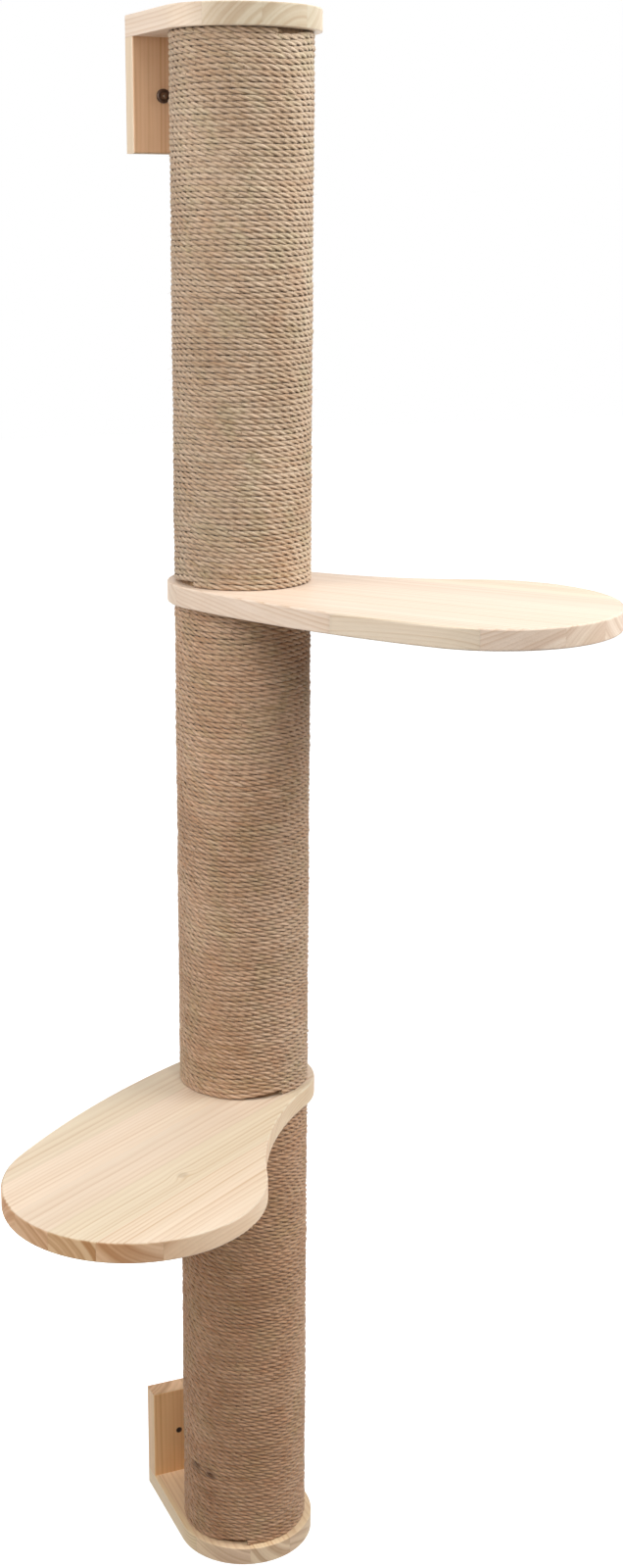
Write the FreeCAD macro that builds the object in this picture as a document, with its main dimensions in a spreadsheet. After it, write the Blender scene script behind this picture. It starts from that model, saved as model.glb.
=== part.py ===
import FreeCAD, Part

import math
import os

import Sketcher

# Wall mounted cat tree: three rope wound posts on one vertical axis, two pear shaped pine shelves
# clamped between them, and an L shaped pine bracket at the top and at the bottom.
#
# Frame, in millimetres: the wall is the plane Y = 0 and the tree stands in front of it, at Y < 0.
# +X runs along the wall to the right, +Y into the wall, +Z up. The origin lies on the wall, midway
# between the two upper wall screws. The post axis is vertical, at X = 0, Y = -axis_to_wall.

V = FreeCAD.Vector

SIZES = [
    ("post_length", 450, "each post, over its plugs"),
    ("post_diameter", 120, "post, over the rope"),
    ("tube_diameter", 110, "cardboard tube, outside"),
    ("tube_wall", 5, "cardboard tube, wall"),
    ("board_thick", 18, "every pine board"),
    ("board_round", 1.5, "rounding of the boards' outer edges"),
    ("joint_round", 0.8, "rounding where two boards meet"),
    ("bracket_width", 132, "bracket plate and wall plate, along the wall"),
    ("axis_to_wall", 102, "post axis to wall"),
    ("wall_plate_height", 94, "wall plate, beyond the bracket plate"),
    ("wall_screw_spacing", 78, "between the two screws of a wall plate"),
    ("wall_screw_drop", 47, "wall screws, from the bracket plate"),
    ("wall_hole_size", 5, "hole through a wall plate"),
    ("wall_screw_size", 4.5, "wall screw, thread"),
    ("wall_screw_neck", 3.2, "wall screw, plain shank in the board"),
    ("wall_screw_length", 60, "wall screw, under the head"),
    ("wall_screw_tip", 8, "wall screw, pointed end"),
    ("wall_screw_head", 12, "wall screw, head diameter"),
    ("wall_screw_dome", 3, "wall screw, head height"),
    ("dome_round", 1.8, "wall screw, rounding of the head"),
    ("shelf_small", 66, "shelf, radius round the post"),
    ("shelf_big", 111, "shelf, radius of the broad end"),
    ("shelf_reach", 231, "shelf, post axis to the broad end's centre"),
    ("shelf_convex", 800, "shelf, radius of the full side"),
    ("shelf_neck", 300, "shelf, radius of the hollowed side"),
    ("upper_shelf_turn", -49.5, "degrees from +X"),
    ("lower_shelf_turn", -134.5, "degrees from +X"),
    ("thread_size", 8, "studs and bracket bolts"),
    ("fit_gap", 0.05, "radial gap of pieces that fit in one another"),
    ("bolt_hole_size", 9, "clearance hole in a bracket plate"),
    ("seat_size", 20, "counterbore in a bracket plate"),
    ("seat_depth", 6, "counterbore in a bracket plate"),
    ("washer_size", 18, "washer, outside"),
    ("washer_bore", 8.4, "washer, hole"),
    ("washer_thick", 1.5, "washer"),
    ("bolt_length", 35, "bracket bolt, under the head"),
    ("bolt_head", 14, "bracket bolt, head diameter"),
    ("bolt_dome", 4.4, "bracket bolt, head height"),
    ("bolt_crown", 8, "bracket bolt, flat on top of the head"),
    ("bolt_rim", 1.5, "bracket bolt, height of the head's rim"),
    ("socket_across", 5, "bracket bolt, hexagon across the flats"),
    ("socket_depth", 2.6, "bracket bolt, hexagon"),
    ("thread_chamfer", 1, "end of a stud or bolt"),
    ("stud_length", 68, "threaded stud"),
    ("plug_thick", 18, "wooden plug"),
    ("nut_barrel", 10, "tee nut, barrel diameter"),
    ("nut_barrel_length", 13, "tee nut, barrel in the plug"),
    ("nut_flange", 22, "tee nut, flange diameter"),
    ("nut_flange_thick", 1.6, "tee nut, flange"),
    ("prong_width", 3, "tee nut, prong"),
    ("prong_thick", 1.2, "tee nut, prong"),
    ("prong_length", 7, "tee nut, prong"),
    ("prong_radius", 9, "tee nut, prongs from the axis"),
    ("edge_screw_size", 4, "screw through a bracket plate, shank"),
    ("edge_screw_length", 40, "screw through a bracket plate"),
    ("edge_screw_tip", 5, "screw through a bracket plate, point"),
    ("edge_screw_head", 8, "screw through a bracket plate, head"),
    ("edge_screw_spread", 45, "outer screws from the middle one"),
    ("pilot_extra", 1, "hole in a wall plate, beyond the screw's point"),
    ("cross_arm", 2.2, "cross recess, half length of an arm"),
    ("cross_half", 0.5, "cross recess, half width of an arm"),
    ("cross_depth", 1.4, "cross recess"),
    ("staple_wire", 1.2, "staple, wire thickness"),
    ("staple_crown", 10, "staple, width"),
    ("staple_leg", 14, "staple, length of a leg"),
    ("staple_sink", 0.4, "staple, depth of its crown in the tube"),
]

PRONGS = 4
STAPLES_PER_END = 4
EDGE_SCREWS = 3
WALL_SCREWS = 2
NEAR = 0.01  # edges are found by their place to this many millimetres

# Each post's name, with the posts and the boards down to its lower end from the top bracket plate.
POSTS = (("upper_post", 1, 0), ("middle_post", 2, 1), ("lower_post", 3, 2))

doc = FreeCAD.newDocument("cat_tree")
sheet = doc.addObject("Spreadsheet::Sheet", "Sizes")
for row, (alias, value, note) in enumerate(SIZES, start=1):
    sheet.set("A%d" % row, alias)
    sheet.set("B%d" % row, str(value))
    sheet.set("C%d" % row, note)
    sheet.setAlias("B%d" % row, alias)
doc.recompute()

pieces = []


def size(alias):
    """The number in the sheet's cell of this name."""
    return float(sheet.get(alias))


def level(posts, boards):
    """Height of a joint that lies so many posts and boards below the top bracket plate."""
    return "Sizes.wall_screw_drop - %d * Sizes.post_length - %d * Sizes.board_thick" % (posts, boards)


def place(piece, x=None, y=None, z=None):
    """Binds the piece's position to the sheet."""
    for axis, expression in zip("xyz", (x, y, z)):
        if expression is not None:
            piece.setExpression("Placement.Base." + axis, expression)


def turn_over(piece):
    """Turns a piece of the top end upside down, for the bottom end."""
    piece.Placement = FreeCAD.Placement(V(0, 0, 0), FreeCAD.Rotation(V(0, 1, 0), 180))


# ---------------------------------------------------------------- sketches and features


def new_body(label):
    body = doc.addObject("PartDesign::Body", label)
    body.Label = label
    body.AllowCompound = True
    pieces.append(body)
    return body


def new_sketch(body, name, plane, offset=None):
    """A sketch on one of the body's own planes, lifted by an expression."""
    sketch = body.newObject("Sketcher::SketchObject", name)
    support = [feature for feature in body.Origin.OriginFeatures if feature.Role == plane]
    sketch.AttachmentSupport = [(support[0], "")]
    sketch.MapMode = "FlatFace"
    if offset is not None:
        sketch.setExpression("AttachmentOffset.Base.z", offset)
    return sketch


def bind(sketch, name, constraint, expression):
    """Adds a dimension that the sheet drives."""
    index = sketch.addConstraint(constraint)
    sketch.renameConstraint(index, name)
    sketch.setExpression("Constraints." + name, expression)


def polygon(sketch, corners):
    """A closed outline whose corners are pairs of expressions. None puts a corner on that axis."""
    count = len(corners)
    radius = size("post_diameter")
    around = [2 * math.pi * index / count for index in range(count)]
    rough = [V(radius * math.cos(angle), radius * math.sin(angle), 0) for angle in around]
    for index in range(count):
        sketch.addGeometry(Part.LineSegment(rough[index], rough[(index + 1) % count]))
    for index in range(count):
        following = (index + 1) % count
        sketch.addConstraint(Sketcher.Constraint("Coincident", index, 2, following, 1))
    for index, (across, up) in enumerate(corners):
        for letter, expression, axis in (("X", across, -2), ("Y", up, -1)):
            if expression is None:
                sketch.addConstraint(Sketcher.Constraint("PointOnObject", index, 1, axis))
            else:
                along = getattr(rough[index], letter.lower())
                dimension = Sketcher.Constraint("Distance" + letter, -1, 1, index, 1, along)
                bind(sketch, "%s%d" % (letter.lower(), index), dimension, expression)


def circles(sketch, places, diameter):
    """Equal circles, centred at pairs of expressions. None puts a centre on that axis."""
    for index, (across, up) in enumerate(places):
        rough = V(1 + index, 1 + index, 0)
        sketch.addGeometry(Part.Circle(rough, V(0, 0, 1), 1))
        for letter, expression, axis in (("X", across, -2), ("Y", up, -1)):
            if expression is None:
                sketch.addConstraint(Sketcher.Constraint("PointOnObject", index, 3, axis))
            else:
                along = getattr(rough, letter.lower())
                dimension = Sketcher.Constraint("Distance" + letter, -1, 1, index, 3, along)
                bind(sketch, "%s%d" % (letter.lower(), index), dimension, expression)
        bind(sketch, "size%d" % index, Sketcher.Constraint("Diameter", index, 2), diameter)


def pad(body, sketch, name, length):
    feature = body.newObject("PartDesign::Pad", name)
    feature.Profile = sketch
    feature.setExpression("Length", length)
    return feature


def revolve(body, sketch, name):
    feature = body.newObject("PartDesign::Revolution", name)
    feature.Profile = sketch
    feature.ReferenceAxis = (sketch, ["V_Axis"])
    feature.Angle = 360
    return feature


def checked_cut(feature):
    """A cut that misses its solid shows no error, so the volume has to fall."""
    doc.recompute()
    before = feature.BaseFeature.Shape.Volume
    if not feature.Shape.Volume < before:
        raise RuntimeError("%s cuts nothing" % feature.Label)
    return feature


def pocket(body, sketch, name, depth=None, backwards=False):
    """A pocket through everything, or as deep as the expression says."""
    feature = body.newObject("PartDesign::Pocket", name)
    feature.Profile = sketch
    feature.Reversed = backwards
    if depth is None:
        feature.Type = "ThroughAll"
    else:
        feature.setExpression("Length", depth)
    return checked_cut(feature)


def hole(body, sketch, name, cut, diameter, cut_diameter, cut_depth=None):
    """A drilled hole through everything, with a counterbore or a countersink at its mouth."""
    doc.recompute()
    feature = body.newObject("PartDesign::Hole", name)
    feature.Profile = sketch
    feature.ThreadType = "None"
    feature.DepthType = "ThroughAll"
    feature.setExpression("Diameter", diameter)
    feature.HoleCutType = cut
    feature.setExpression("HoleCutDiameter", cut_diameter)
    if cut_depth is None:
        feature.HoleCutCountersinkAngle = 90
    else:
        feature.setExpression("HoleCutDepth", cut_depth)
    return checked_cut(feature)


def round_edges(body, name, radius, wanted):
    """Rounds the edges of the body's tip for which wanted(edge) holds."""
    doc.recompute()
    tip = body.Tip
    edges = enumerate(tip.Shape.Edges, start=1)
    chosen = ["Edge%d" % index for index, edge in edges if wanted(edge)]
    feature = body.newObject("PartDesign::Fillet", name)
    feature.Base = (tip, chosen)
    feature.setExpression("Radius", radius)
    doc.recompute()
    return feature


def pattern(body, name, kind, originals, count, direction, span):
    """Repeats features along a line or round an axis, which only counts once it is the tip."""
    feature = body.newObject("PartDesign::" + kind, name)
    feature.Originals = originals
    feature.Occurrences = count
    if kind == "LinearPattern":
        feature.Direction = direction
        feature.setExpression("Length", span)
    else:
        feature.Axis = direction
        feature.Angle = 360
    body.Tip = feature
    doc.recompute()
    return feature


def at_height(height):
    """Picks the edges that lie wholly at one height."""
    return lambda edge: max(abs(edge.BoundBox.ZMin - height), abs(edge.BoundBox.ZMax - height)) < NEAR


def ring(label, outside, inside, height):
    """A plain hollow cylinder on the Z axis, from Z = 0 up."""
    shell = doc.addObject("Part::Cylinder", label + "_outside")
    core = doc.addObject("Part::Cylinder", label + "_inside")
    shell.setExpression("Radius", outside)
    core.setExpression("Radius", inside)
    for cylinder in (shell, core):
        cylinder.setExpression("Height", height)
    piece = doc.addObject("Part::Cut", label)
    piece.Label = label
    piece.Base = shell
    piece.Tool = core
    pieces.append(piece)
    return piece


# ---------------------------------------------------------------- boards


def d_outline(sketch):
    """The bracket plate: straight sides from the wall, and a half round front about the post."""
    half = size("bracket_width") / 2
    reach = size("axis_to_wall")
    wall = sketch.addGeometry(Part.LineSegment(V(-half, 0, 0), V(half, 0, 0)))
    right = sketch.addGeometry(Part.LineSegment(V(half, 0, 0), V(half, -reach, 0)))
    circle = Part.Circle(V(0, -reach, 0), V(0, 0, 1), half)
    front = sketch.addGeometry(Part.ArcOfCircle(circle, math.pi, 2 * math.pi))
    left = sketch.addGeometry(Part.LineSegment(V(-half, -reach, 0), V(-half, 0, 0)))
    for constraint in (
        Sketcher.Constraint("Coincident", wall, 2, right, 1),
        Sketcher.Constraint("Tangent", right, 2, front, 2),
        Sketcher.Constraint("Tangent", front, 1, left, 1),
        Sketcher.Constraint("Coincident", left, 2, wall, 1),
        Sketcher.Constraint("Symmetric", wall, 1, wall, 2, -2),
        Sketcher.Constraint("PointOnObject", wall, 1, -1),
        Sketcher.Constraint("Vertical", right),
        Sketcher.Constraint("Vertical", left),
    ):
        sketch.addConstraint(constraint)
    width = Sketcher.Constraint("DistanceX", wall, 1, wall, 2, 2 * half)
    bind(sketch, "width", width, "Sizes.bracket_width")
    bind(sketch, "reach", Sketcher.Constraint("DistanceY", front, 3, -1, 1, reach), "Sizes.axis_to_wall")


def bracket_plate(label):
    """Board that closes a post's end. Z = 0 is its face on the post, and its outer face is above."""
    body = new_body(label)
    outline = new_sketch(body, label + "_outline", "XY_Plane")
    d_outline(outline)
    pad(body, outline, label + "_board", "Sizes.board_thick")
    round_edges(
        body,
        label + "_outer_rounding",
        "Sizes.board_round",
        lambda edge: at_height(size("board_thick"))(edge) and edge.BoundBox.YMin < -NEAR,
    )
    round_edges(
        body,
        label + "_inner_rounding",
        "Sizes.joint_round",
        lambda edge: at_height(0)(edge) and edge.BoundBox.YMin < -NEAR,
    )
    centre = new_sketch(body, label + "_bolt_centre", "XY_Plane", "Sizes.board_thick")
    circles(centre, [(None, "-Sizes.axis_to_wall")], "Sizes.bolt_hole_size")
    hole(
        body,
        centre,
        label + "_bolt_hole",
        "Counterbore",
        "Sizes.bolt_hole_size",
        "Sizes.seat_size",
        "Sizes.seat_depth",
    )
    row = new_sketch(body, label + "_screw_row", "XY_Plane", "Sizes.board_thick")
    middle = "-Sizes.board_thick / 2"
    spread = "Sizes.edge_screw_spread"
    circles(row, [("-" + spread, middle), (None, middle), (spread, middle)], "Sizes.edge_screw_size")
    hole(
        body,
        row,
        label + "_screw_holes",
        "Countersink",
        "Sizes.edge_screw_size + 2 * Sizes.fit_gap",
        "Sizes.edge_screw_head + 2 * Sizes.fit_gap",
    )
    return body


def wall_plate(label):
    """Board on the wall. Its origin lies on the wall, midway between its two screw holes."""
    body = new_body(label)
    outline = new_sketch(body, label + "_outline", "XZ_Plane")
    half = "Sizes.bracket_width / 2"
    low = "Sizes.wall_screw_drop - Sizes.wall_plate_height"
    high = "Sizes.wall_screw_drop"
    polygon(outline, [("-" + half, low), (half, low), (half, high), ("-" + half, high)])
    pad(body, outline, label + "_board", "Sizes.board_thick")
    meeting = size("wall_screw_drop")
    front = -size("board_thick")
    round_edges(
        body,
        label + "_rounding",
        "Sizes.board_round",
        lambda edge: abs(edge.BoundBox.YMax - front) < NEAR and edge.BoundBox.ZMin < meeting - NEAR,
    )
    pair = new_sketch(body, label + "_wall_screws", "XZ_Plane")
    side = "Sizes.wall_screw_spacing / 2"
    circles(pair, [("-" + side, None), (side, None)], "Sizes.wall_hole_size")
    pocket(body, pair, label + "_wall_holes", backwards=True)
    row = new_sketch(body, label + "_screw_row", "XY_Plane", "Sizes.wall_screw_drop")
    middle = "-Sizes.board_thick / 2"
    spread = "Sizes.edge_screw_spread"
    wood_hole = "Sizes.edge_screw_size + 2 * Sizes.fit_gap"
    circles(row, [("-" + spread, middle), (None, middle), (spread, middle)], wood_hole)
    depth = "Sizes.edge_screw_length - Sizes.board_thick + Sizes.pilot_extra"
    pocket(body, row, label + "_screw_holes", depth)
    return body


def shelf_outline(sketch):
    """A pear with one hollowed side: four arcs, each tangent to the next.

    The post axis is the origin and the broad end lies along +X. The full side faces -Y and its arc
    holds both ends inside it. The hollowed side faces +Y and its arc lies outside both ends.
    """
    small, big = size("shelf_small"), size("shelf_big")
    reach, full, neck = size("shelf_reach"), size("shelf_convex"), size("shelf_neck")

    def arc_centre(to_small, to_big):
        along = (to_small ** 2 - to_big ** 2 + reach ** 2) / (2 * reach)
        return V(along, math.sqrt(to_small ** 2 - along ** 2), 0)

    def arc(centre, radius, start, end):
        circle = Part.Circle(centre, V(0, 0, 1), radius)
        return sketch.addGeometry(Part.ArcOfCircle(circle, start, end))

    def bearing(centre, other):
        return math.atan2(other.y - centre.y, other.x - centre.x)

    post, broad = V(0, 0, 0), V(reach, 0, 0)
    inside = arc_centre(full - small, full - big)
    outside = arc_centre(neck + small, neck + big)
    post_end = arc(post, small, bearing(post, outside), bearing(inside, post) + 2 * math.pi)
    full_side = arc(inside, full, bearing(inside, post), bearing(inside, broad))
    broad_end = arc(broad, big, bearing(inside, broad), bearing(broad, outside))
    hollow_side = arc(outside, neck, bearing(outside, post), bearing(outside, broad))
    for first, end, second, start in (
        (post_end, 2, full_side, 1),
        (full_side, 2, broad_end, 1),
        (broad_end, 2, hollow_side, 2),
        (hollow_side, 1, post_end, 1),
    ):
        sketch.addConstraint(Sketcher.Constraint("Tangent", first, end, second, start))
    sketch.addConstraint(Sketcher.Constraint("Coincident", post_end, 3, -1, 1))
    sketch.addConstraint(Sketcher.Constraint("PointOnObject", broad_end, 3, -1))
    for name, index, radius in (
        ("small", post_end, small),
        ("big", broad_end, big),
        ("convex", full_side, full),
        ("neck", hollow_side, neck),
    ):
        bind(sketch, name, Sketcher.Constraint("Radius", index, radius), "Sizes.shelf_" + name)
    span = Sketcher.Constraint("DistanceX", -1, 1, broad_end, 3, reach)
    bind(sketch, "reach", span, "Sizes.shelf_reach")


def shelf(label, posts, boards):
    """Shelf board. Z = 0 is its lower face, and its bore turns on the stud."""
    body = new_body(label)
    outline = new_sketch(body, label + "_outline", "XY_Plane")
    shelf_outline(outline)
    pad(body, outline, label + "_board", "Sizes.board_thick")
    for side, height in (("lower", 0), ("upper", size("board_thick"))):
        round_edges(body, "%s_%s_rounding" % (label, side), "Sizes.board_round", at_height(height))
    centre = new_sketch(body, label + "_centre", "XY_Plane")
    circles(centre, [(None, None)], "Sizes.thread_size + 2 * Sizes.fit_gap")
    pocket(body, centre, label + "_bore", backwards=True)
    # A turn of 0 would lose the axis, so the body starts with a turn of 1 degree.
    body.Placement = FreeCAD.Placement(V(0, 0, 0), FreeCAD.Rotation(V(0, 0, 1), 1))
    body.setExpression("Placement.Rotation.Angle", "Sizes.%s_turn * 1 deg" % label)
    place(body, y="-Sizes.axis_to_wall", z=level(posts, boards))
    return body


# ---------------------------------------------------------------- posts


def tee_nut(label):
    """Z = 0 is the plug's inner face: the barrel and prongs stand up into the plug."""
    body = new_body(label)
    profile = new_sketch(body, label + "_profile", "XZ_Plane")
    bore = "Sizes.thread_size / 2 + Sizes.fit_gap"
    polygon(
        profile,
        [
            (bore, "-Sizes.nut_flange_thick"),
            ("Sizes.nut_flange / 2", "-Sizes.nut_flange_thick"),
            ("Sizes.nut_flange / 2", None),
            ("Sizes.nut_barrel / 2", None),
            ("Sizes.nut_barrel / 2", "Sizes.nut_barrel_length"),
            (bore, "Sizes.nut_barrel_length"),
        ],
    )
    revolve(body, profile, label + "_turning")
    outline = new_sketch(body, label + "_prong_outline", "XY_Plane")
    near = "Sizes.prong_radius - Sizes.prong_thick / 2"
    far = "Sizes.prong_radius + Sizes.prong_thick / 2"
    side = "Sizes.prong_width / 2"
    polygon(outline, [(near, "-" + side), (far, "-" + side), (far, side), (near, side)])
    prong = pad(body, outline, label + "_prong", "Sizes.prong_length")
    pattern(body, label + "_prongs", "PolarPattern", [prong], PRONGS, (outline, ["N_Axis"]), None)
    return body


def staples(label):
    """Staples through the tube wall into both plugs. Z = 0 is the post's lower end."""
    body = new_body(label)
    crown = "Sizes.tube_diameter / 2 - Sizes.staple_sink"
    under = crown + " - Sizes.staple_wire"
    tip = crown + " - Sizes.staple_leg"
    outer = "Sizes.staple_crown / 2"
    inner = "(Sizes.staple_crown / 2 - Sizes.staple_wire)"
    corners = [
        (crown, "-" + outer),
        (crown, outer),
        (tip, outer),
        (tip, inner),
        (under, inner),
        (under, "-" + inner),
        (tip, "-" + inner),
        (tip, "-" + outer),
    ]
    half_wire = "Sizes.staple_wire / 2"
    ends = (
        ("low", "Sizes.plug_thick / 2 - " + half_wire),
        ("high", "Sizes.post_length - Sizes.plug_thick / 2 - " + half_wire),
    )
    for end, height in ends:
        outline = new_sketch(body, "%s_%s_outline" % (label, end), "XY_Plane", height)
        polygon(outline, corners)
        staple = pad(body, outline, "%s_%s" % (label, end), "Sizes.staple_wire")
        name = "%s_%s_ring" % (label, end)
        pattern(body, name, "PolarPattern", [staple], STAPLES_PER_END, (outline, ["N_Axis"]), None)
    return body


def post(name, posts, boards):
    """One post: tube, wound rope, and a plug with its tee nut at each end."""
    bottom = level(posts, boards)
    top = bottom + " + Sizes.post_length"
    axis = "-Sizes.axis_to_wall"
    tube = "Sizes.tube_diameter / 2"
    bore = "Sizes.tube_diameter / 2 - Sizes.tube_wall"
    gap = "Sizes.fit_gap"
    length = "Sizes.post_length"
    place(ring(name + "_tube", tube, bore, length), y=axis, z=bottom)
    place(ring(name + "_rope", "Sizes.post_diameter / 2", tube + " + " + gap, length), y=axis, z=bottom)
    place(staples(name + "_staples"), y=axis, z=bottom)
    rim = bore + " - " + gap
    seat = "Sizes.nut_barrel / 2 + " + gap
    lower_plug = ring(name + "_bottom_plug", rim, seat, "Sizes.plug_thick")
    place(lower_plug, y=axis, z=bottom)
    upper_plug = ring(name + "_top_plug", rim, seat, "Sizes.plug_thick")
    place(upper_plug, y=axis, z=top + " - Sizes.plug_thick")
    lower_nut = tee_nut(name + "_bottom_nut")
    turn_over(lower_nut)
    place(lower_nut, y=axis, z=bottom + " + Sizes.plug_thick")
    upper_nut = tee_nut(name + "_top_nut")
    place(upper_nut, y=axis, z=top + " - Sizes.plug_thick")


# ---------------------------------------------------------------- fasteners


def cross_recess(body, label, height):
    """The screwdriver cross, cut down from an expression's height."""
    sketch = new_sketch(body, label + "_cross", "XY_Plane", height)
    arm, half = "Sizes.cross_arm", "Sizes.cross_half"
    quarter = [(arm, half), (half, half), (half, arm)]
    corners = []
    for step in range(4):
        corners += quarter
        quarter = [("-" + up if up[0] != "-" else up[1:], across) for across, up in quarter]
    polygon(sketch, corners)
    return pocket(body, sketch, label + "_recess", "Sizes.cross_depth")


def stud(label, posts, boards):
    """Threaded stud, centred in the shelf whose lower face lies at this level."""
    body = new_body(label)
    rod = body.newObject("PartDesign::AdditiveCylinder", label + "_rod")
    rod.setExpression("Radius", "Sizes.thread_size / 2")
    rod.setExpression("Height", "Sizes.stud_length")
    round_ends = body.newObject("PartDesign::Chamfer", label + "_ends")
    doc.recompute()
    edges = enumerate(rod.Shape.Edges, start=1)
    rims = ["Edge%d" % index for index, edge in edges if edge.Curve.TypeId == "Part::GeomCircle"]
    round_ends.Base = (rod, rims)
    round_ends.setExpression("Size", "Sizes.thread_chamfer")
    middle = level(posts, boards) + " + Sizes.board_thick / 2"
    place(body, y="-Sizes.axis_to_wall", z=middle + " - Sizes.stud_length / 2")
    return body


def bracket_bolt(label):
    """Button head bolt with a hexagon socket. Z = 0 is under the head, and the shank points down."""
    body = new_body(label)
    profile = new_sketch(body, label + "_profile", "XZ_Plane")
    shank = "Sizes.thread_size / 2"
    polygon(
        profile,
        [
            (None, "Sizes.bolt_dome"),
            ("Sizes.bolt_crown / 2", "Sizes.bolt_dome"),
            ("Sizes.bolt_head / 2", "Sizes.bolt_rim"),
            ("Sizes.bolt_head / 2", None),
            (shank, None),
            (shank, "-Sizes.bolt_length + Sizes.thread_chamfer"),
            (shank + " - Sizes.thread_chamfer", "-Sizes.bolt_length"),
            (None, "-Sizes.bolt_length"),
        ],
    )
    revolve(body, profile, label + "_turning")
    socket = new_sketch(body, label + "_hexagon", "XY_Plane", "Sizes.bolt_dome")
    corner = "Sizes.socket_across / sqrt(3)"
    flat = "Sizes.socket_across / 2"
    half = corner + " / 2"
    hexagon = [(corner, None), (half, flat), ("-" + half, flat)]
    hexagon += [("-" + corner, None), ("-" + half, "-" + flat), (half, "-" + flat)]
    polygon(socket, hexagon)
    pocket(body, socket, label + "_socket", "Sizes.socket_depth")
    return body


def edge_screws(label):
    """Countersunk wood screws in a row. Z = 0 is the bracket plate's outer face."""
    body = new_body(label)
    profile = new_sketch(body, label + "_profile", "XZ_Plane")
    shank = "Sizes.edge_screw_size / 2"
    head = "Sizes.edge_screw_head / 2"
    polygon(
        profile,
        [
            (None, None),
            (head, None),
            (shank, shank + " - " + head),
            (shank, "-Sizes.edge_screw_length + Sizes.edge_screw_tip"),
            (None, "-Sizes.edge_screw_length"),
        ],
    )
    turning = revolve(body, profile, label + "_turning")
    recess = cross_recess(body, label, "0")
    span = "%d * Sizes.edge_screw_spread" % (EDGE_SCREWS - 1)
    direction = (profile, ["H_Axis"])
    pattern(body, label + "_row", "LinearPattern", [turning, recess], EDGE_SCREWS, direction, span)
    return body


def wall_screws(label):
    """Round head wood screws in a row. Z = 0 is under the heads, and the shanks point down.

    The plain shank fills the board's hole loosely, and the thread begins at the wall.
    """
    body = new_body(label)
    profile = new_sketch(body, label + "_profile", "XZ_Plane")
    neck = "Sizes.wall_screw_neck / 2"
    thread = "Sizes.wall_screw_size / 2"
    head = "Sizes.wall_screw_head / 2"
    polygon(
        profile,
        [
            (None, "Sizes.wall_screw_dome"),
            (head, "Sizes.wall_screw_dome"),
            (head, None),
            (neck, None),
            (neck, "-Sizes.board_thick"),
            (thread, "-Sizes.board_thick"),
            (thread, "-Sizes.wall_screw_length + Sizes.wall_screw_tip"),
            (None, "-Sizes.wall_screw_length"),
        ],
    )
    turning = revolve(body, profile, label + "_turning")
    dome = round_edges(body, label + "_dome", "Sizes.dome_round", at_height(size("wall_screw_dome")))
    recess = cross_recess(body, label, "Sizes.wall_screw_dome")
    direction = (profile, ["H_Axis"])
    features = [turning, dome, recess]
    span = "Sizes.wall_screw_spacing"
    pattern(body, label + "_row", "LinearPattern", features, WALL_SCREWS, direction, span)
    return body


# ---------------------------------------------------------------- assembly


def bracket(name, joint, lower):
    """Bracket plate, wall plate and their fasteners at one end of the column."""
    sign = "-" if lower else "+"
    plate = bracket_plate(name + "_bracket_plate")
    board = wall_plate(name + "_wall_plate")
    screws = edge_screws(name + "_bracket_screws")
    washer = ring(
        name + "_bracket_washer",
        "Sizes.washer_size / 2",
        "Sizes.washer_bore / 2",
        "Sizes.washer_thick",
    )
    bolt = bracket_bolt(name + "_bracket_bolt")
    if lower:
        for piece in (plate, board, screws, washer, bolt):
            turn_over(piece)
    outer = "%s %s Sizes.board_thick" % (joint, sign)
    seat = "%s %s (Sizes.board_thick - Sizes.seat_depth)" % (joint, sign)
    holes = "%s %s Sizes.wall_screw_drop" % (joint, "+" if lower else "-")
    start = "Sizes.edge_screw_spread" if lower else "-Sizes.edge_screw_spread"
    place(plate, z=joint)
    place(board, z=holes)
    place(screws, x=start, y="-Sizes.board_thick / 2", z=outer)
    place(washer, y="-Sizes.axis_to_wall", z=seat)
    place(bolt, y="-Sizes.axis_to_wall", z="%s %s Sizes.washer_thick" % (seat, sign))


bracket("upper", level(0, 0), False)
bracket("lower", level(3, 2), True)

heads = wall_screws("upper_wall_screws")
heads.Placement = FreeCAD.Placement(V(0, 0, 0), FreeCAD.Rotation(V(1, 0, 0), 90))
place(heads, x="-Sizes.wall_screw_spacing / 2", y="-Sizes.board_thick")

for post_name, posts_down, boards_down in POSTS:
    post(post_name, posts_down, boards_down)

for shelf_name, posts_down, boards_down in (("upper_shelf", 1, 1), ("lower_shelf", 2, 2)):
    shelf(shelf_name, posts_down, boards_down)
    stud(shelf_name + "_stud", posts_down, boards_down)

doc.recompute()

# ---------------------------------------------------------------- checks and export

for thing in doc.Objects:
    faults = [state for state in thing.State if state in ("Invalid", "Error")]
    if faults or thing.isValid() is False:
        raise RuntimeError("%s: %s" % (thing.Label, ", ".join(thing.State)))

for piece in pieces:
    if piece.Shape.isNull() or not piece.Shape.isValid() or not piece.Shape.Solids:
        raise RuntimeError("%s has no sound solid" % piece.Label)

os.makedirs("parts", exist_ok=True)
for piece in pieces:
    piece.Shape.exportStep("parts/%s.step" % piece.Label)
    box = piece.Shape.BoundBox
    facts = (piece.Label, len(piece.Shape.Solids), piece.Shape.Volume, box.ZMin, box.ZMax)
    print("%-26s solids %d  volume %10.1f mm3  Z %8.2f to %8.2f" % facts)
print("%d nodes" % len(pieces))
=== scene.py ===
# %% [markdown]
# # A wall mounted cat tree
#
# Three posts wound in jute twine stand on one axis. Two pear shaped pine shelves are clamped
# between them and can swivel, and a pine bracket at each end joins the column to the wall.
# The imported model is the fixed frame: every board and screw already has its real shape, so here
# it only gets a finish. The twine is what a plain sleeve can't show, so it is wound here, and
# each winding takes the place of its sleeve.

# %% Load the frame
import math

import bpy
import numpy as np
from mathutils import Matrix, Vector


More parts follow.
